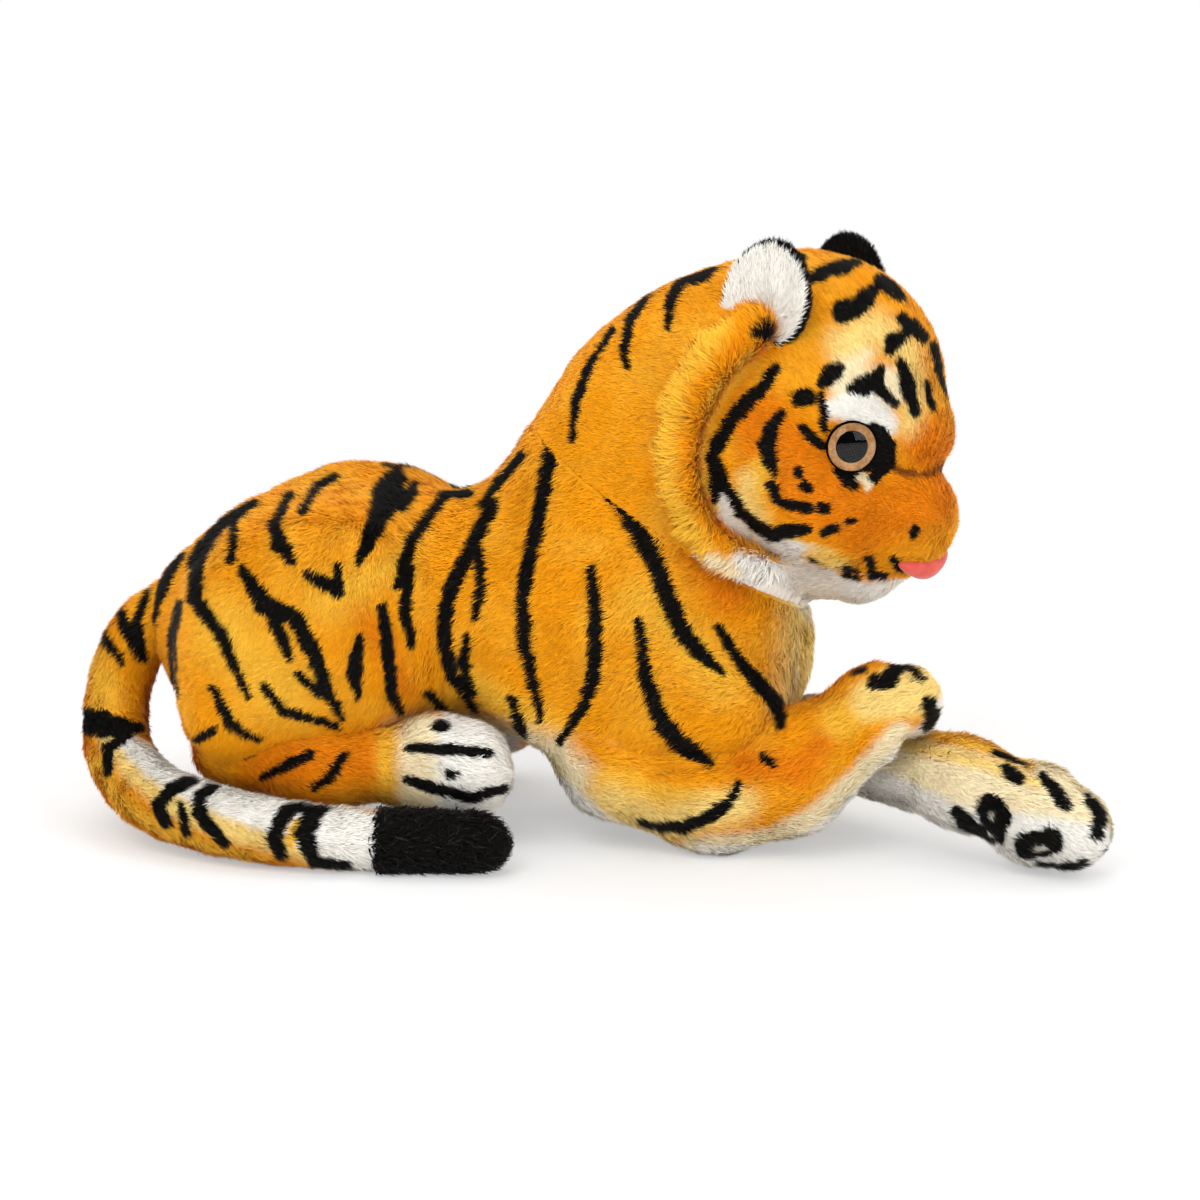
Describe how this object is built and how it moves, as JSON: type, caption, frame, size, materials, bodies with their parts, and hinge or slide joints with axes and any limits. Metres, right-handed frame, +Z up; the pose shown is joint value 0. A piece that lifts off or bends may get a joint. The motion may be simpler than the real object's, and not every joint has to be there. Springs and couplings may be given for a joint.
{
  "type": "plush tiger",
  "caption": "Lying stuffed toy tiger with turned head, crossed forelegs, safety eyes and a tail curled forward along one side.",
  "frame": {"origin": "centre of the bounding box's footprint on the floor", "axes": "+X runs forward along the body, -Y to the toy's right side, +Z up"},
  "size_m": [0.4616, 0.1962, 0.2712],
  "materials": {
    "orange_plush": "long soft pile with printed stripes",
    "white_plush": "long soft pile",
    "black_plush": "long soft pile",
    "polyester_filling": "loose fibre",
    "coral_nose": "satin",
    "clear_dome": "polished",
    "bronze_eye": "metallic ring with a black pupil",
    "white_washer": "plain"
  },
  "bodies": {
    "body": {"torso_right_panel": "orange_plush", "torso_left_panel": "orange_plush", "chest_belly_gusset": "white_plush", "torso_filling": "polyester_filling", "haunch_right_cover": "orange_plush", "haunch_right_filling": "polyester_filling", "haunch_left_cover": "orange_plush", "haunch_left_filling": "polyester_filling", "hind_leg_right_cover": "orange_plush", "hind_leg_right_filling": "polyester_filling", "hind_leg_left_cover": "orange_plush", "hind_leg_left_filling": "polyester_filling"},
    "head": {"head_gusset": "orange_plush", "chin_panel": "white_plush", "face_right_panel": "orange_plush", "face_left_panel": "orange_plush", "head_filling": "polyester_filling", "eye_right_dome": "clear_dome", "eye_right_backing": "bronze_eye", "eye_right_washer": "white_washer", "eye_left_dome": "clear_dome", "eye_left_backing": "bronze_eye", "eye_left_washer": "white_washer", "ear_right_outer": "black_plush", "ear_right_lining": "white_plush", "ear_left_outer": "black_plush", "ear_left_lining": "white_plush", "ruff_right": "orange_plush", "ruff_left": "orange_plush", "nose_pad": "coral_nose"},
    "foreleg_right": {"foreleg_right_cover": "orange_plush", "foreleg_right_filling": "polyester_filling"},
    "foreleg_left": {"foreleg_left_cover": "orange_plush", "foreleg_left_filling": "polyester_filling"},
    "tail_base": {"tail_base_cover": "orange_plush", "tail_base_filling": "polyester_filling"},
    "tail_end": {"tail_end_cover": "orange_plush", "tail_end_filling": "polyester_filling", "tail_tip_cover": "black_plush"}
  },
  "joints": [
    {"name": "head_turn", "type": "hinge", "parent": "body", "child": "head", "pos_m": [0.06301, 0.01411, 0.1885], "axis": [0.5534, 0, 0.8329], "range_deg": [-20, 20]},
    {"name": "foreleg_right_swing", "type": "hinge", "parent": "body", "child": "foreleg_right", "pos_m": [0.03801, -0.02789, 0], "axis": [0, 0, -1], "range_deg": [0, 15]},
    {"name": "foreleg_left_swing", "type": "hinge", "parent": "body", "child": "foreleg_left", "pos_m": [0.03801, 0.05611, 0], "axis": [0, 0, 1], "range_deg": [0, 15]},
    {"name": "tail_root_swing", "type": "hinge", "parent": "body", "child": "tail_base", "pos_m": [-0.19299, 0.01411, 0.091], "axis": [0, 0, -1], "range_deg": [0, 20]},
    {"name": "tail_bend", "type": "hinge", "parent": "tail_base", "child": "tail_end", "pos_m": [-0.18899, -0.05389, 0.023], "axis": [0, 0, -1], "range_deg": [0, 20]}
  ]
}
